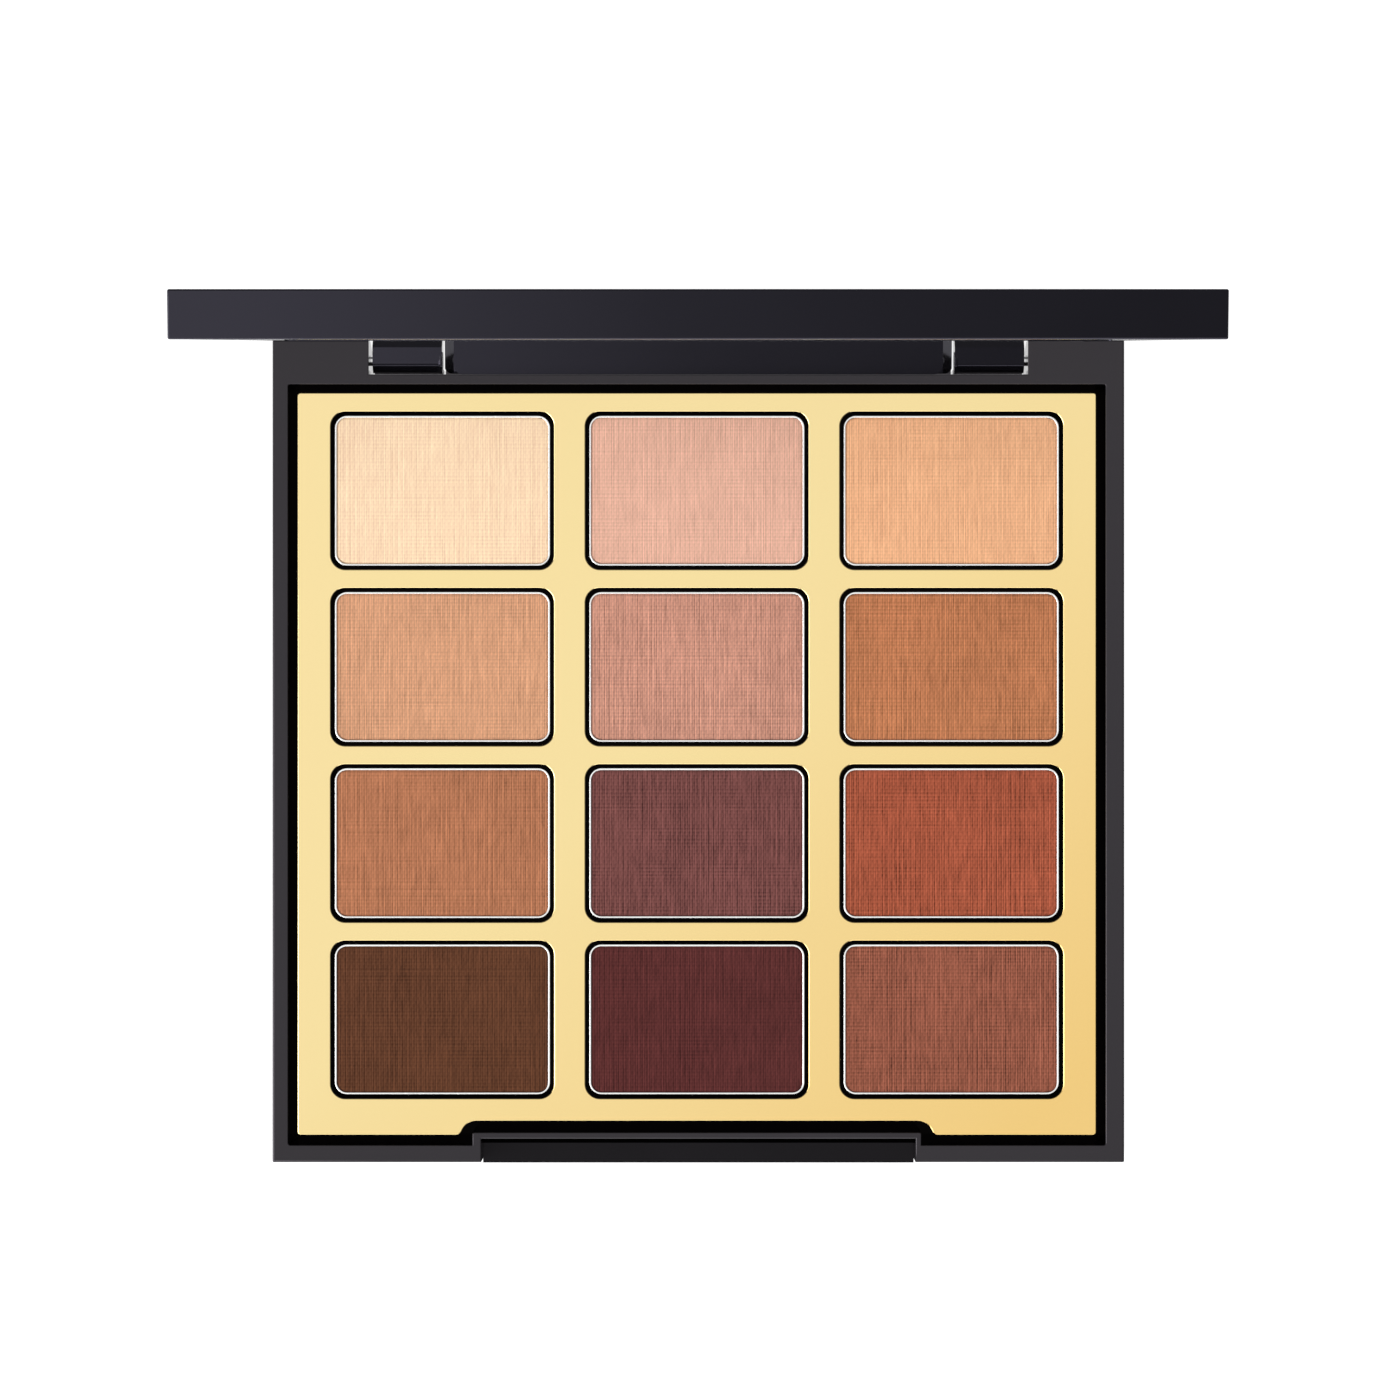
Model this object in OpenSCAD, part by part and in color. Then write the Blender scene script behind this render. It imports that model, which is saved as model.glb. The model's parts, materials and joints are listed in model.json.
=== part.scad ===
// Eyeshadow palette: a hinged compact with twelve pans in a metallised insert plate.
// The origin is the centre of the base's underside, +Z is up and the front faces -Y.
// The lid is drawn shut and then turned about the hinge axis to the angle it stands at.

/* [Pans] */
// Width of each opening in the insert plate
opening_w = 30.9; // [26:0.1:34]
// Depth of each opening, front to back
opening_d = 21.85; // [18:0.05:25]
// Corner radius of each opening
opening_r = 2; // [1.2:0.1:3]
// Gap between a pan and the wall of its opening
pan_gap = 0.5; // [0.3:0.05:0.6]
// Height of a pan
pan_h = 3.2; // [2.4:0.1:3.4]
// Thickness of a pan's metal
pan_t = 0.3; // [0.2:0.05:0.4]
// How far a pan's rim lies below the face of the plate
pan_sink = 0.5; // [0.2:0.1:0.8]
// How far the powder lies below its pan's rim
powder_sink = 0.12; // [0.05:0.01:0.4]

/* [Insert plate] */
// Bar between openings that are side by side
bar_x = 4.4; // [3.6:0.1:6]
// Bar between openings that are one behind the other
bar_y = 2.6; // [2.5:0.05:4]
// Margin at the left and right
side_margin = 4.65; // [4:0.05:6]
// Margin at the rear
rear_margin = 2.65; // [2.5:0.05:4]
// Margin at the front
front_margin = 5.1; // [5:0.1:7]
// Thickness of the plate's face
plate_t = 1; // [0.8:0.1:1.2]
// Thickness of the walls and floors that hold the pans
cup_t = 0.9; // [0.7:0.1:1]
// How far the plate's face lies below the top of the base
plate_sink = 0.6; // [0.3:0.1:1]
// Corner radius of the plate's outline
plate_r = 0.45; // [0.3:0.05:1]
// Radius at the mouth of the plate's front notch
mouth_r = 0.9; // [0.5:0.1:1.2]
// How far the plate and its well lie to the left of the middle
insert_left = 0.2; // [0:0.05:0.4]
// How far the plate lies to the rear of the middle of its well
insert_back = 0.1; // [0:0.05:0.3]
// Radius at the deep corners of the plate's front notch
notch_r = 2.2; // [1.5:0.1:2.4]

/* [Base] */
// Height of the base
base_h = 8.5; // [8.3:0.1:10]
// Thickness of the base's floor
floor_t = 1.3; // [1:0.1:1.5]
// Gap between the plate and the wall around it
well_gap = 1.2; // [1:0.1:1.6]
// Thickness of the side walls
side_wall = 2.4; // [2:0.1:3]
// Thickness of the front wall
front_wall = 2.4; // [2.2:0.05:3]
// Thickness of the rear wall
rear_wall = 6.15; // [6:0.05:7]
// Radius of the base's and lid's edges
edge_r = 0.3; // [0.2:0.05:0.5]
// Width of the thumb recess in the front wall
recess_w = 60.2; // [40:0.1:70]
// How far the thumb recess reaches in from the front
recess_d = 3.3; // [3:0.1:3.4]
// Height of the thumb recess's floor at its front
recess_floor = 3; // [2.5:0.1:3.5]
// Angle that the recess's floor rises at, towards the rear
recess_slope = 15; // [10:1:18]
// How far the lip below the recess stands out from the front
lip_d = 0.65; // [0.4:0.05:0.8]
// How far the wall steps in behind the thumb recess
island_d = 1.75; // [1.7:0.05:2]

/* [Hinge] */
// Distance of the hinge axis from the base's rear face and from its top
hinge_drop = 2.65; // [2.5:0.05:2.8]
// Radius of the hinge barrels
barrel_r = 1.8; // [1.7:0.05:1.9]
// Radius of the hinge pins
pin_r = 0.75; // [0.6:0.05:0.8]
// Running clearance between a pin and its barrel, on the radius
pin_fit = 0.05; // [0.02:0.01:0.08]
// Distance from the middle of the palette to a barrel's inner end
barrel_in = 35.55; // [34:0.05:37]
// Length of a barrel
barrel_len = 9.65; // [8:0.05:10]
// Width of the spine's flat face, between the barrels
spine_w = 68; // [60:0.1:68.2]
// Angle that the lid stands open at
open_angle = 84.9; // [0:0.1:110]

/* [Lid] */
// Thickness of the lid
lid_t = 5.6; // [5.4:0.1:7]
// Gap between the shut lid and the top of the base
lid_gap = 0.1; // [0.05:0.01:0.2]
// Thickness of the lid's outer skin
lid_skin = 1.4; // [1.2:0.1:1.6]
// Thickness of the lid's side and front walls
lid_wall = 1.8; // [1.5:0.1:2.2]
// Thickness of the lid's rear wall
lid_rear_wall = 5.75; // [5.7:0.05:7]
// Width of the frame that shows around the mirror
mirror_margin = 6; // [5.9:0.1:8]
// Thickness of the mirror glass
mirror_t = 1.5; // [1.2:0.1:1.6]

/* [Magnets] */
// Length of each magnet
magnet_l = 10; // [6:0.5:12]
// Width of each magnet
magnet_w = 2.4; // [2:0.1:2.5]
// Thickness of each magnet
magnet_t = 1.6; // [1:0.1:1.7]
// Distance of the magnets from the middle of the palette
magnet_x = 44; // [42:1:46]

/* [Hidden] */
$fn = 96;
COLS = 3;
ROWS = 4;
eps = 0.01;

// Colours
case_colour = "#2b2a2d";
gold_colour = "#efd596";
tin_colour = "#d9d9d6";
glue_colour = "#e8e4d4";
magnet_colour = "#9a9a9c";
mirror_colour = "#cfd8de";
powder_colours = [
    ["#f9dbb7", "#e3b29b", "#ecb186"],
    ["#d9a17c", "#cb927e", "#bb7853"],
    ["#b77857", "#764846", "#a5543e"],
    ["#623e2c", "#5b2f2e", "#945746"]
];

// Plan of the base, worked out from the pans
plate_w = COLS * opening_w + (COLS - 1) * bar_x + 2 * side_margin;
plate_d = ROWS * opening_d + (ROWS - 1) * bar_y + rear_margin + front_margin;
case_w = plate_w + 2 * (well_gap + side_wall);
case_d = plate_d + 2 * well_gap + front_wall + rear_wall;
well_rear = case_d / 2 - rear_wall;
well_front = well_rear - plate_d - 2 * well_gap;
plate_rear = well_rear - well_gap + insert_back;
plate_front = plate_rear - plate_d;

// Heights in the base
plate_top = base_h - plate_sink;
pan_top = plate_top - pan_sink;
pan_bottom = pan_top - pan_h;
glue_t = 0.15;
cup_top = pan_bottom - glue_t;
cup_bottom = cup_top - cup_t;

// Front of the base
island_w = recess_w + 2;
island_y = well_front + island_d;
notch_w = island_w + 2 * well_gap + 0.9;
notch_y = island_y + well_gap + 0.2 + insert_back;

// Hinge
axis_y = case_d / 2 - hinge_drop;
axis_z = base_h - hinge_drop;
knuckle_gap = 0.45;
barrel_out = barrel_in + barrel_len;
knuckle_front = axis_y - barrel_r - 0.3;
arm_relief = 0.9;
spine_r = 2;
spine_face = 0.6;
spine_corner = 1.5;
spine_gap = 0.25;
spine_front = axis_y - spine_r - 0.15;
spine_floor = 2.4;
flange_out = barrel_in - 0.2;
ledge_top = axis_z - spine_r - 0.15;
stop_angle = 21.5;
pin_recess = 1;
pin_in = barrel_in + 0.9;
pin_chamfer = 0.2;

// Lid, as it lies when it is shut
lid_low = base_h + lid_gap;
lid_top = lid_low + lid_t;
lid_relief = sqrt(2) * hinge_drop + 0.15;
cavity_top = lid_top - lid_skin;
cavity_w = case_w - 2 * lid_wall;
cavity_front = -case_d / 2 + lid_wall;
cavity_rear = case_d / 2 - lid_rear_wall;
cavity_d = cavity_rear - cavity_front;
cavity_y = (cavity_rear + cavity_front) / 2;
frame_low = lid_low + 0.15;
frame_fit = 0.1;
glass_gap = 0.2;
tape_t = 0.15;
mirror_low = frame_low + 0.15;
recess_top = mirror_low + mirror_t + tape_t;
frame_web = 1.1;
mirror_recess_w = cavity_w - 2 * mirror_margin;
mirror_recess_d = cavity_d - 2 * mirror_margin;
magnet_y = plate_front + front_margin / 2;
magnet_skin = 0.8;

// Centre of the pan in a row, counted from the rear, and a column, counted from the left
function pan_x(col) = (col - (COLS + 1) / 2) * (opening_w + bar_x) - insert_left;
function pan_y(row) = plate_rear - rear_margin - opening_d / 2 - (row - 1) * (opening_d + bar_y);

// Rectangle with round corners, centred
module rounded(w, d, r) {
    square([w - 2 * r, d], center = true);
    square([w, d - 2 * r], center = true);
    for (sx = [-1, 1], sy = [-1, 1])
        translate([sx * (w / 2 - r), sy * (d / 2 - r)])
            circle(r);
}

// Rounded rectangle between two heights, centred on x and y
module slab(x, y, low, high, w, d, r) {
    translate([x, y, low])
        linear_extrude(high - low)
            rounded(w, d, r);
}

// Box between two corners
module block(from, to) {
    translate(from)
        cube(to - from);
}

// Sweep of a side view, drawn as [y, z], from one x to another
module along_x(from, to) {
    translate([from, 0, 0])
        rotate([90, 0, 90])
            linear_extrude(to - from)
                children();
}

// Sweep of a front view, drawn as [x, z], from one y to another
module along_y(from, to) {
    translate([0, to, 0])
        rotate([90, 0, 0])
            linear_extrude(to - from)
                children();
}

// Cylinder along x from one end to the other, on the hinge axis
module on_axis(from, to, r) {
    translate([from, axis_y, axis_z])
        rotate([0, 90, 0])
            cylinder(h = to - from, r = r);
}

// Both sides of the palette, from what is drawn on the right
module both_sides() {
    children();
    mirror([1, 0, 0])
        children();
}

// Everything on the lid turns from shut to where it stands
module opened() {
    translate([0, axis_y, axis_z])
        rotate([-open_angle, 0, 0])
            translate([0, -axis_y, -axis_z])
                children();
}

// ---- Base ----

// Side view of the base, with a bevel at the lower rear that stops the lid
module base_side() {
    half = case_d / 2;
    bevel_z = axis_z - hinge_drop * tan(stop_angle / 2);
    foot_y = half - bevel_z * tan(stop_angle);
    polygon([
        [edge_r - half, 0], [foot_y, 0], [half, bevel_z], [half, base_h - edge_r],
        [half - edge_r, base_h], [edge_r - half, base_h], [-half, base_h - edge_r], [-half, edge_r]
    ]);
    corners = [[edge_r - half, edge_r], [edge_r - half, base_h - edge_r], [half - edge_r, base_h - edge_r]];
    for (corner = corners)
        translate(corner)
            circle(edge_r);
}

// Outer form of the base
module base_form() {
    intersection() {
        slab(0, 0, 0, base_h, case_w, case_d, edge_r);
        along_x(-case_w / 2, case_w / 2)
            base_side();
        along_y(-case_d / 2, case_d / 2)
            translate([0, base_h / 2])
                rounded(case_w, base_h, edge_r);
    }
}

// Lip below the thumb recess, as high as the base before the recess is cut
module lip() {
    along_x(-recess_w / 2, recess_w / 2)
        translate([-case_d / 2, base_h / 2])
            rounded(2 * lip_d, base_h, edge_r);
}

// Thumb recess, with a floor that rises towards the rear
module thumb_recess() {
    front = -case_d / 2 - lip_d;
    reach = lip_d + recess_d;
    along_x(-recess_w / 2, recess_w / 2)
        polygon([
            [front - reach, recess_floor - reach * tan(recess_slope)],
            [front + reach, recess_floor + reach * tan(recess_slope)],
            [front + reach, base_h + 1], [front - reach, base_h + 1]
        ]);
}

// Space for the insert plate, stepped in behind the thumb recess
module well() {
    difference() {
        slab(-insert_left, (well_rear + well_front) / 2, floor_t, base_h + 1,
             plate_w + 2 * well_gap, well_rear - well_front, edge_r);
        slab(-insert_left, island_y - island_d, 0, base_h + 2, island_w, 2 * island_d, edge_r);
    }
}

// Gap for the right barrel, open at the bottom, and for the end of the spine beside it
module knuckle_slot() {
    block([flange_out, knuckle_front, -1], [barrel_out + knuckle_gap, case_d, base_h + 1]);
    block([spine_w / 2 + spine_gap - spine_corner, knuckle_front, spine_floor],
          [flange_out + eps, case_d, base_h + 1]);
}

// Ledge across the front of the right barrel's gap, under the barrel
module ledge() {
    block([barrel_in, knuckle_front - 0.2, 0], [barrel_out, knuckle_front + 1, ledge_top]);
}

// Gap for the spine, over a low sill
module spine_slot() {
    slab(0, spine_front + case_d / 2, spine_floor, base_h + 1,
         spine_w + 2 * spine_gap, case_d, spine_corner);
}

// Post that the right magnet of the base stands on
module magnet_post() {
    block([magnet_x - magnet_l / 2 - 0.3, magnet_y - magnet_w / 2 - 0.05, floor_t - 0.2],
          [magnet_x + magnet_l / 2 + 0.3, magnet_y + magnet_w / 2 + 0.05, plate_top - plate_t - magnet_t]);
}

module base_shell() {
    color(case_colour) {
        difference() {
            union() {
                base_form();
                lip();
            }
            well();
            thumb_recess();
            spine_slot();
            both_sides() {
                knuckle_slot();
                on_axis(barrel_out, case_w / 2 + 1, pin_r);
            }
        }
        both_sides() {
            magnet_post();
            ledge();
        }
    }
}

// ---- Insert plate ----

// Plan of the plate, with its notch at the front; each side of the notch is two arcs that meet
module plate_plan() {
    deep = [notch_w / 2 - notch_r, notch_y - notch_r];
    arcs = notch_r + mouth_r;
    rise = notch_y - plate_front - arcs;
    mouth = [deep[0] + sqrt(arcs * arcs - rise * rise), plate_front + mouth_r];
    translate([-insert_left, 0]) {
        difference() {
            translate([0, (plate_rear + plate_front) / 2])
                rounded(plate_w, plate_d, plate_r);
            translate([0, plate_front])
                square([2 * deep[0], 2 * (notch_y - plate_front)], center = true);
            for (side = [-1, 1]) {
                translate([side * deep[0], deep[1]])
                    circle(notch_r);
                polygon([
                    [side * (deep[0] - eps), deep[1]], [side * mouth[0], mouth[1]],
                    [side * mouth[0], plate_front - 1], [side * (deep[0] - eps), plate_front - 1]
                ]);
            }
        }
        for (side = [-1, 1])
            translate([side * mouth[0], mouth[1]])
                circle(mouth_r);
    }
}

// Opening or cup of one pan, grown by a margin
module pan_plan(row, col, grow) {
    translate([pan_x(col), pan_y(row)])
        rounded(opening_w + 2 * grow, opening_d + 2 * grow, opening_r + grow);
}

module insert_plate() {
    skirt = 1;
    inner = plate_w / 2 - skirt;
    color(gold_colour)
        difference() {
            union() {
                // Face
                translate([0, 0, plate_top - plate_t])
                    linear_extrude(plate_t)
                        plate_plan();
                // Skirt along the sides, the rear and the front
                difference() {
                    translate([0, 0, floor_t])
                        linear_extrude(plate_top - plate_t - floor_t + eps)
                            plate_plan();
                    translate([-insert_left, 0, 0]) {
                        block([-inner, notch_y + skirt, 0],
                              [inner, plate_rear - skirt, base_h]);
                        both_sides()
                            block([notch_w / 2 + skirt + mouth_r, plate_front + skirt, 0],
                                  [inner, notch_y + skirt + eps, base_h]);
                    }
                }
                // Cups
                for (row = [1:ROWS], col = [1:COLS])
                    translate([0, 0, cup_bottom])
                        linear_extrude(plate_top - plate_t - cup_bottom + eps)
                            pan_plan(row, col, cup_t);
            }
            for (row = [1:ROWS], col = [1:COLS])
                translate([0, 0, cup_top])
                    linear_extrude(base_h)
                        pan_plan(row, col, 0);
        }
}

// Dots of hot glue between the base's floor and the cups
module insert_glue() {
    color(glue_colour)
        for (row = [1, 4], col = [1:COLS])
            translate([pan_x(col), pan_y(row), floor_t])
                cylinder(h = cup_bottom - floor_t, r = 3);
}

// ---- Pans ----

module pan(row, col) {
    w = opening_w - 2 * pan_gap;
    d = opening_d - 2 * pan_gap;
    r = opening_r - 0.3;
    color(tin_colour)
        difference() {
            slab(pan_x(col), pan_y(row), pan_bottom, pan_top, w, d, r);
            slab(pan_x(col), pan_y(row), pan_bottom + pan_t, pan_top + 1,
                 w - 2 * pan_t, d - 2 * pan_t, r - pan_t);
        }
}

module powder(row, col) {
    inset = 2 * (pan_gap + pan_t);
    color(powder_colours[row - 1][col - 1])
        slab(pan_x(col), pan_y(row), pan_bottom + pan_t, pan_top - powder_sink,
             opening_w - inset, opening_d - inset, opening_r - 0.3 - pan_t);
}

// Dots of glue that hold the pans in their cups
module pan_glue() {
    color(glue_colour)
        for (row = [1:ROWS], col = [1:COLS])
            translate([pan_x(col), pan_y(row), cup_top])
                cylinder(h = glue_t, r = 5);
}

// ---- Hinge pins and magnets ----

// Right pin, pressed in from the side of the base
module hinge_pin() {
    outer = case_w / 2 - pin_recess;
    color("silver") {
        on_axis(pin_in + pin_chamfer, outer - pin_chamfer, pin_r);
        for (end = [[outer - pin_chamfer, 90], [pin_in + pin_chamfer, -90]])
            translate([end[0], axis_y, axis_z])
                rotate([0, end[1], 0])
                    cylinder(h = pin_chamfer, r1 = pin_r, r2 = pin_r - pin_chamfer);
    }
}

// Right magnet of the base or of the lid, by the height of its underside
module magnet(low) {
    color(magnet_colour)
        slab(magnet_x, magnet_y, low, low + magnet_t, magnet_l, magnet_w, 0.3);
}

// ---- Lid ----

// Outer form of the lid's shell
module lid_form() {
    mid_z = (lid_low + lid_top) / 2;
    intersection() {
        slab(0, 0, lid_low, lid_top, case_w, case_d, edge_r);
        along_x(-case_w / 2, case_w / 2)
            translate([0, mid_z])
                rounded(case_d, lid_t, edge_r);
        along_y(-case_d / 2, case_d / 2)
            translate([0, mid_z])
                rounded(case_w, lid_t, edge_r);
    }
}

// Side view of the spine: flat in front, round below
module spine_side() {
    intersection() {
        translate([axis_y, axis_z])
            circle(spine_r);
        translate([axis_y - spine_face, axis_z - spine_r])
            square([2 * spine_r, spine_r]);
    }
    translate([axis_y - spine_face, axis_z - eps])
        square([spine_face + barrel_r, lid_low - axis_z + 2 * eps]);
}

// Front view of the spine, with its two lower corners round
module spine_front_view() {
    low = axis_z - spine_r;
    high = lid_low + 2 * eps;
    translate([0, (low + high) / 2])
        rounded(spine_w, high - low, spine_corner);
    translate([0, (axis_z + high) / 2])
        square([spine_w, high - axis_z], center = true);
}

// Side view of a barrel and its arm, which is cut back where it meets the lid
module arm_side() {
    rise = lid_low - axis_z;
    translate([axis_y, axis_z]) {
        circle(barrel_r);
        polygon([
            [-barrel_r, 0], [barrel_r, 0], [barrel_r, rise + 2 * eps],
            [arm_relief - barrel_r, rise + 2 * eps], [-barrel_r, rise - arm_relief]
        ]);
    }
}

// Right end of the spine, which falls away towards the barrel
module spine_end() {
    face = spine_w / 2 - spine_corner;
    intersection() {
        along_x(face, flange_out)
            arm_side();
        translate([0, axis_y, 0])
            linear_extrude(lid_top)
                polygon([
                    [face, -0.4], [spine_w / 2, -0.4], [flange_out, barrel_r - 0.4],
                    [flange_out, barrel_r], [face, barrel_r]
                ]);
    }
}

// Right barrel: a tube with a small collar at its inner end, and the arm behind it
module knuckle() {
    collar = 0.15;
    collar_t = 0.3;
    difference() {
        union() {
            along_x(barrel_in, barrel_out)
                arm_side();
            translate([barrel_in, axis_y, axis_z])
                rotate([0, 90, 0])
                    rotate_extrude()
                        difference() {
                            square([barrel_r + collar, collar_t + collar]);
                            translate([barrel_r + collar, collar_t + collar])
                                circle(collar);
                        }
        }
        on_axis(pin_in - 0.3, barrel_out + 1, pin_r + pin_fit);
    }
}

module lid_shell() {
    color(case_colour)
        opened() {
            difference() {
                lid_form();
                slab(0, cavity_y, lid_low - 1, cavity_top, cavity_w, cavity_d, 0.5);
                // Room for the base's rear corners as the lid turns
                both_sides()
                    on_axis(barrel_out + eps, case_w / 2 + 1, lid_relief);
            }
            intersection() {
                along_x(-spine_w / 2, spine_w / 2)
                    spine_side();
                along_y(axis_y - 2 * spine_r, axis_y + 2 * spine_r)
                    spine_front_view();
            }
            both_sides() {
                spine_end();
                knuckle();
            }
        }
}

// Frame that fills the lid's underside and holds the mirror and the lid's magnets
module mirror_frame() {
    wall = 1.2;
    color(case_colour)
        opened()
            difference() {
                slab(0, cavity_y, frame_low, cavity_top,
                     cavity_w - 2 * frame_fit, cavity_d - 2 * frame_fit, 0.5);
                slab(0, cavity_y, frame_low - 1, recess_top, mirror_recess_w, mirror_recess_d, 0.5);
                slab(0, cavity_y, recess_top + frame_web, cavity_top + 1,
                     mirror_recess_w - 2 * wall, mirror_recess_d - 2 * wall, 0.5);
                both_sides()
                    slab(magnet_x, magnet_y, frame_low + magnet_skin, cavity_top + 1,
                         magnet_l + 0.2, magnet_w + 0.2, 0.3);
            }
}

module mirror_tape() {
    inset = 3;
    color("white")
        opened()
            slab(0, cavity_y, recess_top - tape_t, recess_top,
                 mirror_recess_w - 2 * inset, mirror_recess_d - 2 * inset, 0.5);
}

module mirror_glass() {
    color(mirror_colour)
        opened()
            slab(0, cavity_y, mirror_low, mirror_low + mirror_t,
                 mirror_recess_w - 2 * glass_gap, mirror_recess_d - 2 * glass_gap, 0.5);
}

base_shell();
insert_plate();
insert_glue();
pan_glue();
for (row = [1:ROWS], col = [1:COLS])
    pan(row, col);
for (row = [1:ROWS], col = [1:COLS])
    powder(row, col);
hinge_pin();  // hinge_pin_right
mirror([1, 0, 0]) hinge_pin();  // hinge_pin_left
magnet(plate_top - plate_t - magnet_t);  // base_magnet_right
mirror([1, 0, 0]) magnet(plate_top - plate_t - magnet_t);  // base_magnet_left
lid_shell();
mirror_frame();
mirror_tape();
mirror_glass();
opened() magnet(frame_low + magnet_skin);  // lid_magnet_right
opened() mirror([1, 0, 0]) magnet(frame_low + magnet_skin);  // lid_magnet_left
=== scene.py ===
import json
import math

import bmesh
import bpy
import numpy as np
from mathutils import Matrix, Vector

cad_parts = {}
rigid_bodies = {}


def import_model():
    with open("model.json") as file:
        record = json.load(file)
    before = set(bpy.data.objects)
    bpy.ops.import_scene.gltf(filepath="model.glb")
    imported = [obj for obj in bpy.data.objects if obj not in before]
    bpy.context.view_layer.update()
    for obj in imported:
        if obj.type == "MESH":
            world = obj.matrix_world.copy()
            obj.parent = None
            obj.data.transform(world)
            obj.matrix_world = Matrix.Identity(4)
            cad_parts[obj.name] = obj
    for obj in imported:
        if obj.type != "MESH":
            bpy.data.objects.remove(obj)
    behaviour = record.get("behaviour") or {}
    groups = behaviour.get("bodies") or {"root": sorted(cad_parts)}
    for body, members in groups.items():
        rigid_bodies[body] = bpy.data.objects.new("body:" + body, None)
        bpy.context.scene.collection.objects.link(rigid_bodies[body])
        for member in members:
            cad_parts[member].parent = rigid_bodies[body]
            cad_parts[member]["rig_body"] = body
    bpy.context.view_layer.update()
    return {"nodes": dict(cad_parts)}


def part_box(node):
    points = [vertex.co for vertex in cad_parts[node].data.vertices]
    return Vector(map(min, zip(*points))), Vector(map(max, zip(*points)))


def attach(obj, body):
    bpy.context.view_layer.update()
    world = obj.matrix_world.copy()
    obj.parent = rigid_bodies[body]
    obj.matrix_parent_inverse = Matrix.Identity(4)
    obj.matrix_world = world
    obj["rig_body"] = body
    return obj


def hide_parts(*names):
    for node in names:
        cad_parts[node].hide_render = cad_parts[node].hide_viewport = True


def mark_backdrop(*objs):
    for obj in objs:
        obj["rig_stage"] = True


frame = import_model()

# Everything is in metres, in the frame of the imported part: +Z up, the front faces -Y.
MM = 0.001
ROWS = (1, 2, 3, 4)
COLS = (1, 2, 3)
# near black drawn where shade falls: painted shade in the well and in the plate's openings
PAINTED_SHADE_BLACK = (0.0022, 0.0018, 0.0018)


# ---------------------------------------------------------------- materials

def new_material(name):
    """A material with an empty Principled shader, and its node tree."""
    material = bpy.data.materials.new(name)
    material.use_nodes = True
    tree = material.node_tree
    return material, tree, tree.nodes["Principled BSDF"]


def set_numbers(shader, **values):
    """Sets numbers and colours on the shader's own sockets; underscores stand for spaces."""
    for key, value in values.items():
        shader.inputs[key.replace("_", " ")].default_value = value


def object_coords(tree):
    return tree.nodes.new("ShaderNodeTexCoord").outputs["Object"]


def stretched(tree, coords, scale):
    """The coordinates times a scale for each axis."""
    mapping = tree.nodes.new("ShaderNodeMapping")
    mapping.inputs["Scale"].default_value = scale
    tree.links.new(coords, mapping.inputs["Vector"])
    return mapping.outputs["Vector"]


def noise(tree, coords, scale, detail=3.0, roughness=0.5):
    """A noise value around 0.5 at a scale in cells per metre."""
    node = tree.nodes.new("ShaderNodeTexNoise")
    node.inputs["Scale"].default_value = scale
    node.inputs["Detail"].default_value = detail
    node.inputs["Roughness"].default_value = roughness
    tree.links.new(coords, node.inputs["Vector"])
    return node.outputs["Fac"]


def math_node(tree, operation, a, b):
    node = tree.nodes.new("ShaderNodeMath")
    node.operation = operation
    for socket, value in zip(node.inputs, (a, b)):
        if isinstance(value, (int, float)):
            socket.default_value = value
        else:
            tree.links.new(value, socket)
    return node.outputs["Value"]


def spread(tree, value, low, high, from_low=0.3, from_high=0.7):
    """Maps a noise value to a range of roughness or weight."""
    node = tree.nodes.new("ShaderNodeMapRange")
    node.inputs["From Min"].default_value = from_low
    node.inputs["From Max"].default_value = from_high
    node.inputs["To Min"].default_value = low
    node.inputs["To Max"].default_value = high
    tree.links.new(value, node.inputs["Value"])
    return node.outputs["Result"]


def blend_colours(tree, factor, first, second, halfway=None):
    """A colour that runs from first to second with the factor."""
    ramp = tree.nodes.new("ShaderNodeValToRGB")
    if halfway is not None:
        ramp.color_ramp.elements.new(0.5).color = (*halfway, 1)
    ramp.color_ramp.elements[0].color = (*first, 1)
    ramp.color_ramp.elements[-1].color = (*second, 1)
    tree.links.new(factor, ramp.inputs["Fac"])
    return ramp.outputs["Color"]


def bump(tree, height, strength, distance, under=None):
    node = tree.nodes.new("ShaderNodeBump")
    node.inputs["Strength"].default_value = strength
    node.inputs["Distance"].default_value = distance
    tree.links.new(height, node.inputs["Height"])
    if under is not None:
        tree.links.new(under, node.inputs["Normal"])
    return node.outputs["Normal"]


def scaled(colour, factor):
    return tuple(min(1.0, c * factor) for c in colour)


def linear(red, green, blue):
    """Linear colour from 0-255 display values."""
    def one(v):
        v /= 255
        return v / 12.92 if v <= 0.04045 else ((v + 0.055) / 1.055) ** 2.4
    return one(red), one(green), one(blue)


def inside_box(tree, coords, low, high):
    """1 where the coordinates lie inside a box, 0 elsewhere."""
    separate = tree.nodes.new("ShaderNodeSeparateXYZ")
    tree.links.new(coords, separate.inputs["Vector"])
    inside = None
    for axis, bottom, top in zip("XYZ", low, high):
        over = math_node(tree, "GREATER_THAN", separate.outputs[axis], bottom)
        under = math_node(tree, "LESS_THAN", separate.outputs[axis], top)
        both = math_node(tree, "MULTIPLY", over, under)
        inside = both if inside is None else math_node(tree, "MULTIPLY", inside, both)
    return inside


def choose(tree, factor, first, second):
    """The first colour where the factor is 0 and the second where it is 1."""
    mix = tree.nodes.new("ShaderNodeMix")
    mix.data_type = "RGBA"
    tree.links.new(factor, mix.inputs["Factor"])
    for socket, colour in ((mix.inputs["A"], first), (mix.inputs["B"], second)):
        if isinstance(colour, tuple):
            socket.default_value = (*colour, 1)
        else:
            tree.links.new(colour, socket)
    return mix.outputs["Result"]


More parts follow.
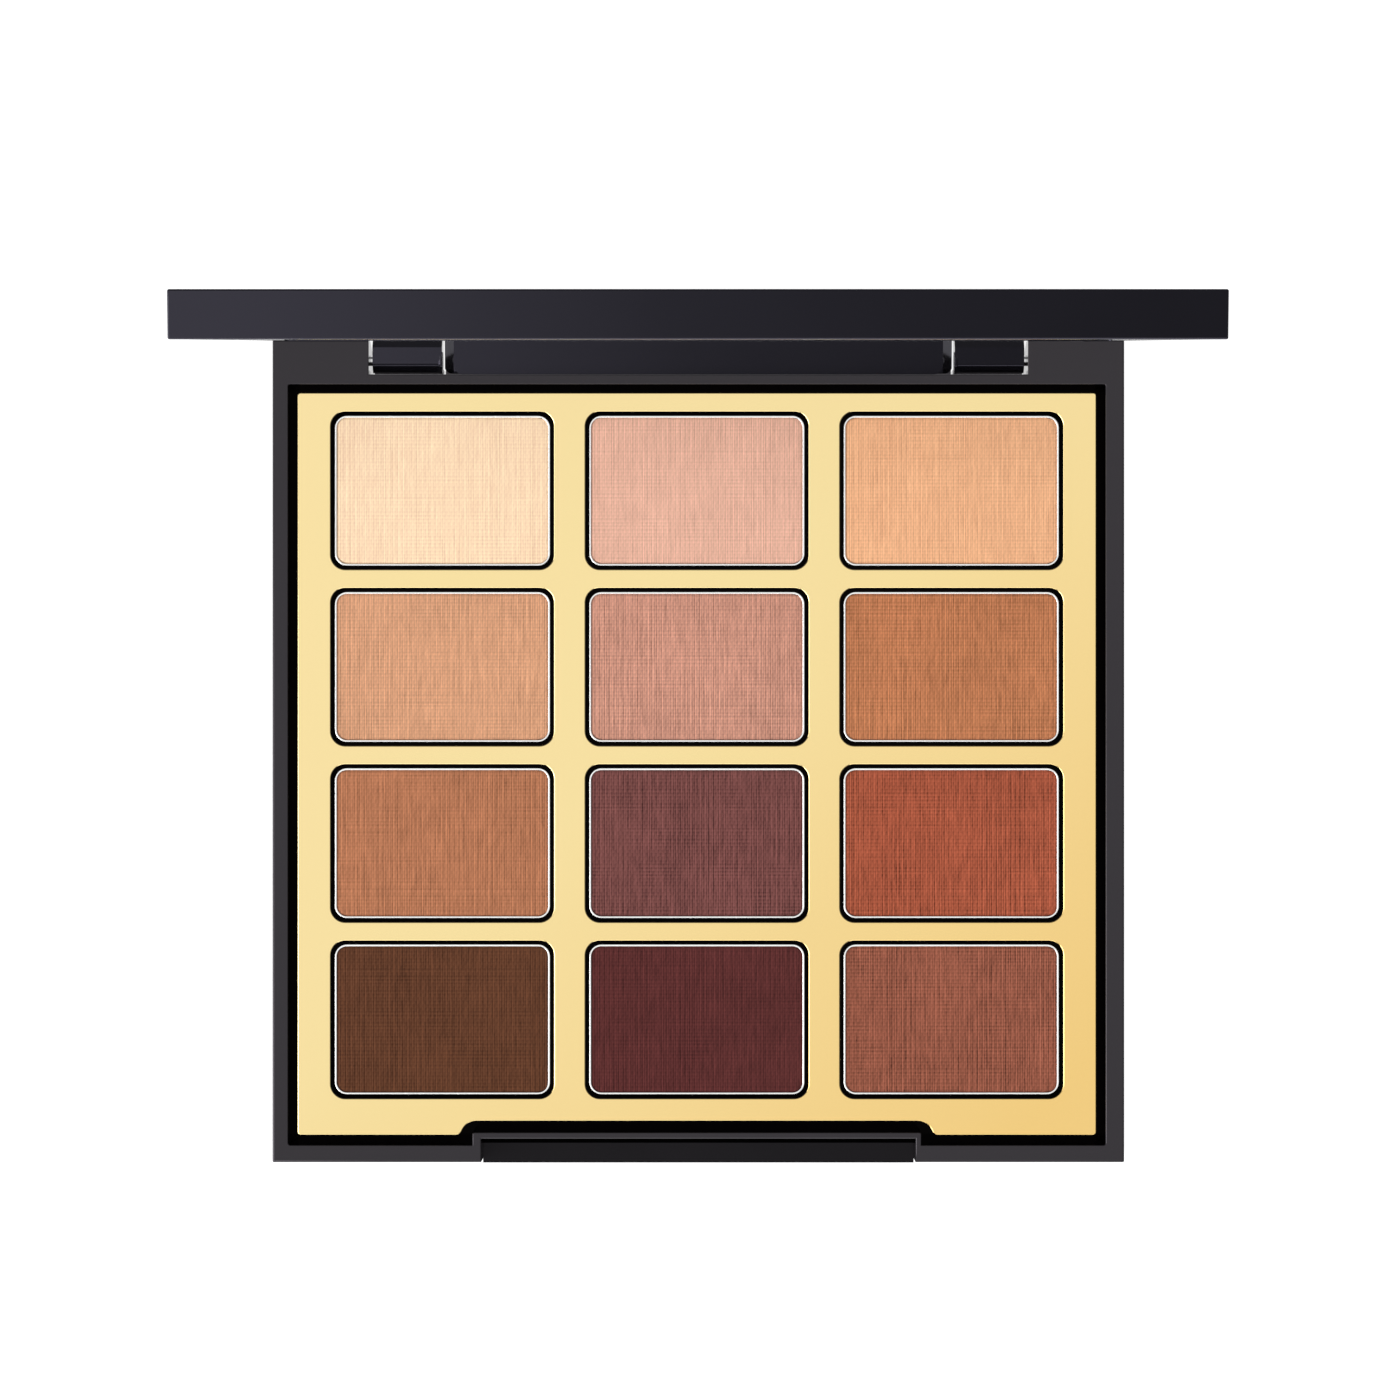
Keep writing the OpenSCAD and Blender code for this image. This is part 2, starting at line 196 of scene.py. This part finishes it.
def glossy_plastic(name, colour, tint, smooth, rough, painted_shade_box=None):
    """Moulded gloss plastic: a faint flow of the moulding, and slightly uneven gloss.

    Inside the given box the moulding is drawn a near black that reflects next to nothing: painted shade.
    """
    material, tree, shader = new_material(name)
    coords = object_coords(tree)
    cloud = noise(tree, coords, 60, 2)
    fine = noise(tree, coords, 2600, 2)
    set_numbers(shader, IOR=1.5, Specular_Tint=(*tint, 1))
    body = blend_colours(tree, cloud, scaled(colour, 0.86), scaled(colour, 1.14))
    if painted_shade_box is not None:
        # painted shade: inside the box the case is near black and metallic, so it reflects next to nothing
        painted_shade = inside_box(tree, coords, *painted_shade_box)
        body = choose(tree, painted_shade, body, PAINTED_SHADE_BLACK)
        tree.links.new(painted_shade, shader.inputs["Metallic"])
    tree.links.new(body, shader.inputs["Base Color"])
    tree.links.new(spread(tree, cloud, smooth, rough), shader.inputs["Roughness"])
    ripple = bump(tree, noise(tree, coords, 220, 1), 0.03, 0.02 * MM)
    tree.links.new(bump(tree, fine, 0.05, 0.004 * MM, ripple), shader.inputs["Normal"])
    return material


def gold_plating():
    """Metallised face on black plastic: satin gold with fine grain, paler to the back left and warmer to
    the front right as painted light; below the plating the edge rounding is a dull olive as painted dim
    reflection, and the walls further down a non-reflecting near black as painted shade.
    """
    material, tree, shader = new_material("gold_plating")
    coords = object_coords(tree)
    separate = tree.nodes.new("ShaderNodeSeparateXYZ")
    tree.links.new(coords, separate.inputs["Vector"])
    # painted light: the gold runs paler toward the back left and deeper toward the front right
    slope = math_node(tree, "SUBTRACT", separate.outputs["X"], separate.outputs["Y"])
    reach = (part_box("insert_plate")[1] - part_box("insert_plate")[0]).x
    cloud = math_node(tree, "MULTIPLY", noise(tree, coords, 25, 1), 0.02)
    painted_light_ramp = spread(tree, math_node(tree, "ADD", slope, cloud), 0, 1, -reach, reach)
    pale, middle, warm = (0.947, 0.756, 0.382), (0.92, 0.736, 0.357), (0.873, 0.60, 0.218)
    gold = blend_colours(tree, painted_light_ramp, pale, warm, middle)
    height = separate.outputs["Z"]
    # below the plating: a dull olive band on the edge rounding as painted dim reflection, then near black
    # as painted shade
    edge = math_node(tree, "GREATER_THAN", height, PLATE_TOP - 1.2 * FILLET)
    plated = math_node(tree, "GREATER_THAN", height, PLATE_TOP - PLATING_DEPTH)
    painted_dim_reflection = (0.040, 0.036, 0.023)
    painted_wall_shade = choose(tree, edge, PAINTED_SHADE_BLACK, painted_dim_reflection)
    tree.links.new(choose(tree, plated, painted_wall_shade, gold), shader.inputs["Base Color"])
    set_numbers(shader, Metallic=1.0)
    grain = noise(tree, coords, 5000, 2)
    tree.links.new(spread(tree, grain, 0.09, 0.13), shader.inputs["Roughness"])
    ripple = bump(tree, noise(tree, coords, 160, 1), 0.04, 0.03 * MM)
    tree.links.new(bump(tree, grain, 0.06, 0.003 * MM, ripple), shader.inputs["Normal"])
    return material


def bright_metal(name, colour, smooth, rough, scale):
    """Drawn or plated metal with a fine grain along one axis."""
    material, tree, shader = new_material(name)
    coords = object_coords(tree)
    grain = noise(tree, stretched(tree, coords, scale), 1, 3)
    set_numbers(shader, Metallic=1.0)
    tree.links.new(
        blend_colours(tree, grain, scaled(colour, 0.93), scaled(colour, 1.05)),
        shader.inputs["Base Color"])
    tree.links.new(spread(tree, grain, smooth, rough), shader.inputs["Roughness"])
    tree.links.new(bump(tree, grain, 0.08, 0.004 * MM), shader.inputs["Normal"])
    return material


def silvered_glass():
    material, tree, shader = new_material("silvered_glass")
    coords = object_coords(tree)
    haze = noise(tree, coords, 30, 2)
    set_numbers(shader, Metallic=1.0)
    tree.links.new(
        blend_colours(tree, haze, (0.86, 0.885, 0.885), (0.9, 0.92, 0.915)),
        shader.inputs["Base Color"])
    tree.links.new(spread(tree, haze, 0.008, 0.02), shader.inputs["Roughness"])
    return material


def plain_matter(name, colour, rough, scale):
    """Glue and tape: slightly mottled and matte."""
    material, tree, shader = new_material(name)
    coords = object_coords(tree)
    mottle = noise(tree, coords, scale, 3)
    tree.links.new(
        blend_colours(tree, mottle, scaled(colour, 0.88), scaled(colour, 1.06)),
        shader.inputs["Base Color"])
    tree.links.new(spread(tree, mottle, rough - 0.08, rough + 0.08), shader.inputs["Roughness"])
    tree.links.new(bump(tree, mottle, 0.2, 0.03 * MM), shader.inputs["Normal"])
    return material


def pressed_powder(name, colour, contrast):
    """Matte powder: darker between the threads of its weave as painted shade, with streaks, patches and
    fine grains of tone.
    """
    material, tree, shader = new_material(name)
    coords = object_coords(tree)
    relief = tree.nodes.new("ShaderNodeAttribute")
    relief.attribute_name = "relief"
    grain = noise(tree, coords, 9000, 2)
    streaks = noise(tree, stretched(tree, coords, (5200, 420, 900)), 1, 2)
    patch = noise(tree, coords, 130, 2)
    # painted shade: the colour follows the relief, darker in the weave's hollows
    tone = math_node(tree, "ADD", math_node(tree, "MULTIPLY", relief.outputs["Fac"], 0.55),
                     math_node(tree, "MULTIPLY", streaks, 0.5))
    tone = math_node(tree, "ADD", tone, math_node(tree, "MULTIPLY", grain, 0.22))
    tone = math_node(tree, "ADD", tone, math_node(tree, "MULTIPLY", patch, 0.16))
    tone = spread(tree, tone, 0, 1, 0.42, 0.98)
    tree.links.new(
        blend_colours(tree, tone, scaled(colour, 1 - 0.4 * contrast), scaled(colour, 1 + 0.34 * contrast)),
        shader.inputs["Base Color"])
    set_numbers(shader, Roughness=0.9, Specular_IOR_Level=0.1, Sheen_Weight=0.02)
    threads = bump(tree, streaks, 0.25, 0.02 * MM)
    tree.links.new(bump(tree, grain, 0.35, 0.012 * MM, threads), shader.inputs["Normal"])
    return material


def pale_floor():
    """A light table: white, and bright enough to leave almost no shadow."""
    material, tree, shader = new_material("pale_floor")
    coords = object_coords(tree)
    mottle = noise(tree, coords, 8, 2)
    tree.links.new(blend_colours(tree, mottle, (0.34, 0.34, 0.34), (0.36, 0.36, 0.36)),
                   shader.inputs["Base Color"])
    set_numbers(shader, Roughness=0.8, Specular_IOR_Level=0.0,
                Emission_Color=(1, 1, 1, 1), Emission_Strength=0.93)
    return material


PLATE_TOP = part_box("insert_plate")[1].z
BASE_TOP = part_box("base_shell")[1].z
FILLET = 0.2 * MM              # rounding of the edges of the plate's openings
PLATING_DEPTH = 0.06 * MM      # how far down the plating reaches over the plate's edges


def well_box():
    """The space of the well that shows around the insert plate, below the edge of the case, where the case
    takes painted shade.
    """
    low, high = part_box("insert_plate")
    gap = 1.5 * MM
    return ((low.x - gap, low.y - gap, 0), (high.x + gap, high.y + gap, BASE_TOP - 0.2 * MM))


# the case takes painted shade inside the well
CASE = glossy_plastic("case_plastic", (0.0042, 0.0040, 0.0046), (0.98, 0.90, 1.0), 0.07, 0.11,
                      well_box())
LID = glossy_plastic("lid_plastic", (0.0042, 0.0041, 0.0056), (0.80, 0.76, 1.0), 0.09, 0.13)
GOLD = gold_plating()
PAN = bright_metal("pan_metal", (0.90, 0.90, 0.885), 0.18, 0.28, (900, 900, 6000))
PIN = bright_metal("pin_steel", (0.72, 0.72, 0.73), 0.12, 0.2, (300, 5000, 5000))
MAGNET = bright_metal("magnet_nickel", (0.62, 0.62, 0.63), 0.15, 0.25, (2000, 2000, 2000))
MIRROR = silvered_glass()
GLUE = plain_matter("glue", (0.80, 0.76, 0.66), 0.45, 700)
TAPE = plain_matter("tape", (0.86, 0.86, 0.85), 0.7, 1500)

# Each powder's name, its colour and how strongly its weave shows
POWDERS = {
    (1, 1): ("cream", (255, 212, 178), 0.6),
    (1, 2): ("pale_pink", (221, 173, 152), 0.7),
    (1, 3): ("peach", (243, 176, 134), 0.85),
    (2, 1): ("tan", (203, 150, 116), 1.0),
    (2, 2): ("dusty_pink", (191, 138, 119), 1.4),
    (2, 3): ("caramel", (180, 116, 79), 1.4),
    (3, 1): ("warm_brown", (168, 110, 79), 1.3),
    (3, 2): ("plum_brown", (109, 66, 63), 2.0),
    (3, 3): ("burnt_orange", (156, 80, 57), 1.8),
    (4, 1): ("dark_brown", (89, 54, 36), 1.6),
    (4, 2): ("burgundy", (84, 41, 40), 1.6),
    (4, 3): ("brick_brown", (140, 82, 64), 1.8),
}


# ---------------------------------------------------------------- pieces

def add_object(name, mesh, material):
    piece = bpy.data.objects.new(name, mesh)
    bpy.context.scene.collection.objects.link(piece)
    mesh.materials.clear()
    mesh.materials.append(material)
    return piece


def stand_in(piece, node):
    """The piece replaces a CAD node, on the node's own body."""
    body = frame["nodes"][node]["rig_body"]
    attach(piece, body)
    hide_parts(node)
    return piece


SHARP = math.radians(32)       # edges that turn by more than this are rounded
MERGE = 0.0001 * MM            # vertices closer than this are one


def sharp_edges(form):
    return [e for e in form.edges if len(e.link_faces) == 2 and e.calc_face_angle() > SHARP]


def rounded(form, edges, width, segments, clamp):
    bmesh.ops.bevel(form, geom=edges, offset=width, offset_type="OFFSET", segments=segments,
                    profile=0.5, affect="EDGES", clamp_overlap=clamp)


def softened(node, material, width, segments=3, wide=None):
    """A CAD node with its sharp edges rounded, as a moulded or drawn piece has them.

    wide is a test of an edge's ends and the width of its rounding, for edges that differ.
    """
    mesh = frame["nodes"][node].data.copy()
    mesh.name = node + "_soft"
    form = bmesh.new()
    form.from_mesh(mesh)
    bmesh.ops.remove_doubles(form, verts=form.verts, dist=MERGE)
    bmesh.ops.dissolve_limit(form, angle_limit=math.radians(0.5), verts=form.verts, edges=form.edges)
    if wide is not None:
        chosen, wide_width = wide
        picked = [e for e in sharp_edges(form) if all(chosen(vertex.co) for vertex in e.verts)]
        rounded(form, picked, wide_width, segments=5, clamp=False)
    rounded(form, sharp_edges(form), width, segments, clamp=True)
    bmesh.ops.remove_doubles(form, verts=form.verts, dist=MERGE)
    for face in form.faces:
        face.smooth = True
    for edge in form.edges:
        edge.smooth = len(edge.link_faces) == 2 and edge.calc_face_angle() < SHARP
    form.to_mesh(mesh)
    form.free()
    piece = add_object(node + "_body", mesh, material)
    weighted = piece.modifiers.new("weighted", "WEIGHTED_NORMAL")
    weighted.keep_sharp = True
    weighted.weight = 100
    return stand_in(piece, node)


WARP = 0.33 * MM        # pitch of the linen's threads that run front to back
WEFT = 0.5 * MM         # pitch of the threads that run across


def smooth_noise(rng, count, step):
    """A slow random run of values between 0 and 1."""
    knots = rng.random(count // step + 3)
    places = np.arange(count) / step
    low = places.astype(int)
    share = places - low
    share = share * share * (3 - 2 * share)
    return knots[low] * (1 - share) + knots[low + 1] * share


def patches(rng, nx, ny, step):
    """Slow random patches between 0 and 1 over a grid."""
    across = np.stack([smooth_noise(rng, nx, step) for _ in range(ny // step + 3)], axis=1)
    places = np.arange(ny) / step
    low = places.astype(int)
    share = places - low
    return across[:, low] * (1 - share) + across[:, low + 1] * share


def ridges(rng, count, points, weakest, strongest):
    """Ridges and hollows in turn, each some points wide, where each pair has a random strength."""
    signs = np.where(np.arange(count) // points % 2 == 0, 1.0, -1.0)
    pair = 2 * points
    return signs * np.repeat(rng.uniform(weakest, strongest, count // pair + 1), pair)[:count]


def linen(rng, nx, ny):
    """Relief of a linen weave over a grid with two points for each thread, from -1 to 1."""
    warp = ridges(rng, nx, 1, 0.35, 1.3)
    weft = ridges(rng, ny, 1, 0.25, 1.1)
    warp = warp + 0.4 * ridges(rng, nx, 2, 0.3, 1.2)
    warp_patch = 0.45 + 0.75 * patches(rng, nx, ny, 24)
    weft_patch = 0.15 + 0.95 * patches(rng, nx, ny, 12)
    cross = ((np.arange(nx)[:, None] // 2 + np.arange(ny)[None, :] // 2) % 2) * 2.0 - 1.0
    relief = 0.55 * warp[:, None] * warp_patch + 0.38 * weft[None, :] * weft_patch + 0.12 * cross
    return np.clip(relief, -1, 1)


def cake_outline(xs, ys, corner):
    """The grid's points held inside a rounded rectangle, and each one's distance from its edge."""
    half_width, half_depth = xs[-1], ys[-1]
    into = np.clip(np.abs(ys) - (half_depth - corner), 0, corner)
    reach = half_width - corner + np.sqrt(corner ** 2 - into ** 2)
    x = np.clip(xs[:, None], -reach[None, :], reach[None, :])
    y = np.repeat(ys[None, :], len(xs), axis=0)
    dx = half_width - corner - np.abs(x)
    dy = half_depth - corner - np.abs(y)
    edge = np.where((dx < 0) & (dy < 0), corner - np.hypot(dx, dy), corner + np.minimum(dx, dy))
    return x, y, edge


def cake_mesh(name, x, y, z, relief, bottom):
    """A closed mesh with the grid as its top, which also carries the relief as an attribute."""
    nx, ny = x.shape
    form = bmesh.new()
    tone = form.verts.layers.float.new("relief")
    grid = [[None] * ny for _ in range(nx)]
    for i in range(nx):
        for j in range(ny):
            vertex = form.verts.new((x[i, j], y[i, j], z[i, j]))
            vertex[tone] = 0.5 + 0.5 * relief[i, j]
            grid[i][j] = vertex
    for i in range(nx - 1):
        for j in range(ny - 1):
            form.faces.new((grid[i][j], grid[i + 1][j], grid[i + 1][j + 1], grid[i][j + 1]))
    bmesh.ops.remove_doubles(form, verts=form.verts, dist=0.001 * MM)
    bmesh.ops.dissolve_degenerate(form, edges=form.edges, dist=0.001 * MM)
    rim = [e for e in form.edges if e.is_boundary]
    walls = bmesh.ops.extrude_edge_only(form, edges=rim)["geom"]
    for vertex in walls:
        if isinstance(vertex, bmesh.types.BMVert):
            vertex.co.z = bottom
    bmesh.ops.holes_fill(form, edges=[e for e in form.edges if e.is_boundary], sides=0)
    bmesh.ops.recalc_face_normals(form, faces=form.faces)
    for face in form.faces:
        face.smooth = face.normal.z > 0.3
    mesh = bpy.data.meshes.new(name)
    form.to_mesh(mesh)
    form.free()
    return mesh


def powder_piece(row, col, seed):
    """Pressed powder in its pan: a flat cake with rolled edges and a linen relief."""
    node = f"powder_{row}_{col}"
    low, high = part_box(node)
    width, depth = high.x - low.x, high.y - low.y
    middle = (low + high) / 2
    corner, roll, drop, relief_height = 1.4 * MM, 0.4 * MM, 0.16 * MM, 0.03 * MM
    nx = 2 * round(width / WARP) + 1
    ny = 2 * round(depth / WEFT) + 1
    rng = np.random.default_rng(seed)
    weave = linen(rng, nx, ny)
    xs = np.linspace(-width / 2, width / 2, nx)
    ys = np.linspace(-depth / 2, depth / 2, ny)
    xs[1:-1] += rng.uniform(-0.03, 0.03, nx - 2) * MM
    ys[1:-1] += rng.uniform(-0.05, 0.05, ny - 2) * MM
    x, y, edge = cake_outline(xs, ys, corner)
    near = np.clip(1 - edge / roll, 0, 1)
    z = high.z - relief_height * (1 - weave) * (1 - near) - drop * near ** 2
    mesh = cake_mesh(node + "_cake", middle.x + x, middle.y + y, z, weave, low.z)
    name, colour, contrast = POWDERS[row, col]
    material = pressed_powder("powder_" + name, linear(*colour), contrast)
    piece = add_object(f"{node}_cake", mesh, material)
    return stand_in(piece, node)


def dress(node, material):
    """A CAD node that keeps its own mesh takes a better material."""
    for material_slot in frame["nodes"][node].material_slots:
        material_slot.material = material


FLUSH = 0.01 * MM              # how far below a face a point still counts as on it


def on_plate_face(point):
    return point.z > PLATE_TOP - FLUSH


def on_base_top(point):
    return point.z > BASE_TOP - FLUSH


softened("base_shell", CASE, 0.2 * MM, wide=(on_base_top, 0.16 * MM))
softened("insert_plate", GOLD, 0.15 * MM, wide=(on_plate_face, FILLET))
lid_pieces = [
    softened("lid_shell", LID, 0.14 * MM),
    softened("mirror_frame", CASE, 0.12 * MM),
    softened("mirror_tape", TAPE, 0.03 * MM, segments=1),
    softened("lid_magnet_left", MAGNET, 0.1 * MM, segments=2),
    softened("lid_magnet_right", MAGNET, 0.1 * MM, segments=2),
]
mirror = softened("mirror_glass", MIRROR, 0.15 * MM, segments=2)
# The pieces below don't reflect the lid, and the mirror throws no light on them
for piece in lid_pieces + [mirror]:
    piece.visible_glossy = False
mirror.visible_diffuse = False
for row in ROWS:
    for col in COLS:
        softened(f"pan_{row}_{col}", PAN, 0.09 * MM)
        powder_piece(row, col, seed=10 * row + col)
for side in ("left", "right"):
    softened(f"hinge_pin_{side}", PIN, 0.05 * MM, segments=2)
    dress(f"base_magnet_{side}", MAGNET)
dress("insert_glue", GLUE)
dress("pan_glue", GLUE)


# ---------------------------------------------------------------- stage

def floor():
    half = 2.0
    mesh = bpy.data.meshes.new("floor")
    level = -0.05 * MM
    corners = [(-half, -half, level), (half, -half, level), (half, half, level), (-half, half, level)]
    mesh.from_pydata(corners, [], [(0, 1, 2, 3)])
    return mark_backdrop(add_object("floor", mesh, pale_floor()))


def softbox(name, azimuth, polar, distance, half_angle, radiance):
    """A square softbox aimed at the palette, as large as half_angle from there and that bright."""
    azimuth, polar = math.radians(azimuth), math.radians(polar)
    side = 2 * distance * math.tan(math.radians(half_angle))
    place = Vector((math.sin(polar) * math.cos(azimuth), math.sin(polar) * math.sin(azimuth),
                    math.cos(polar))) * distance
    light = bpy.data.lights.new(name, "AREA")
    light.shape = "RECTANGLE"
    light.size, light.size_y = side, side
    light.energy = radiance * math.pi * side * side
    lamp = bpy.data.objects.new(name, light)
    bpy.context.scene.collection.objects.link(lamp)
    lamp.location = place
    palette = Vector((0, 0, 0))
    lamp.rotation_euler = (palette - place).to_track_quat("-Z", "Y").to_euler()
    return lamp


def light_only(lamp, name, pieces, state):
    """Links a lamp to some pieces, or to all but them."""
    group = bpy.data.collections.new(name)
    for piece in pieces:
        group.objects.link(bpy.data.objects[piece])
    for entry in group.collection_objects:
        entry.light_linking.link_state = state
    lamp.light_linking.receiver_collection = group


def fade_across(light, left, middle, right):
    """A softbox that fades across the middle part of its width."""
    light.use_nodes = True
    tree = light.node_tree
    geometry = tree.nodes.new("ShaderNodeNewGeometry")
    separate = tree.nodes.new("ShaderNodeSeparateXYZ")
    tree.links.new(geometry.outputs["Position"], separate.inputs["Vector"])
    across = spread(tree, separate.outputs["X"], 0, 1, -0.2, 0.2)
    strength = blend_colours(tree, across, (left,) * 3, (right,) * 3, (middle,) * 3)
    tree.links.new(strength, tree.nodes["Emission"].inputs["Strength"])


ROOM, BACKDROP = 0.24, 1.0     # the world's strength for the pieces, and as the camera sees it


def studio():
    """Soft light from above, the left and the front, in a dim room with a white backdrop."""
    world = bpy.data.worlds.new("studio")
    bpy.context.scene.world = world
    world.use_nodes = True
    tree = world.node_tree
    background = tree.nodes["Background"]
    background.inputs["Color"].default_value = (1, 1, 1, 1)
    rays = tree.nodes.new("ShaderNodeLightPath")
    level = tree.nodes.new("ShaderNodeMapRange")
    level.inputs["To Min"].default_value = ROOM
    level.inputs["To Max"].default_value = BACKDROP
    tree.links.new(rays.outputs["Is Camera Ray"], level.inputs["Value"])
    tree.links.new(level.outputs["Result"], background.inputs["Strength"])
    overhead = softbox("overhead", 0, 0, 1.4, 30, 0.77)
    light_only(overhead, "all_but_the_lid", ["lid_shell_body"], "EXCLUDE")
    shaded = softbox("overhead_of_the_lid", 0, 0, 1.4, 30, 1.0)
    light_only(shaded, "the_lid", ["lid_shell_body"], "INCLUDE")
    fade_across(shaded.data, 0.95, 0.21, 0.0)
    softbox("key", 208, 45, 1.2, 18, 5.0)
    softbox("left_fill", 180, 66, 1.0, 20, 2.2)
    softbox("front_fill", 270, 66, 1.0, 20, 2.0)


def camera():
    """Straight above the palette, where the open lid is seen on its edge."""
    base_low, base_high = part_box("base_shell")
    width = base_high.x - base_low.x
    height = 4.655 * width
    data = bpy.data.cameras.new("camera")
    data.sensor_width = 36
    picture = 1.6428 * width            # width of the view at the top of the base
    data.lens = data.sensor_width * height / picture
    data.clip_start, data.clip_end = 0.01, 10
    eye = bpy.data.objects.new("camera", data)
    bpy.context.scene.collection.objects.link(eye)
    aside, behind = 0.23 * MM, 7.085 * MM
    eye.location = (aside, behind, base_high.z + height)
    bpy.context.scene.camera = eye


floor()
studio()
camera()
bpy.context.scene.view_settings.view_transform = "Standard"
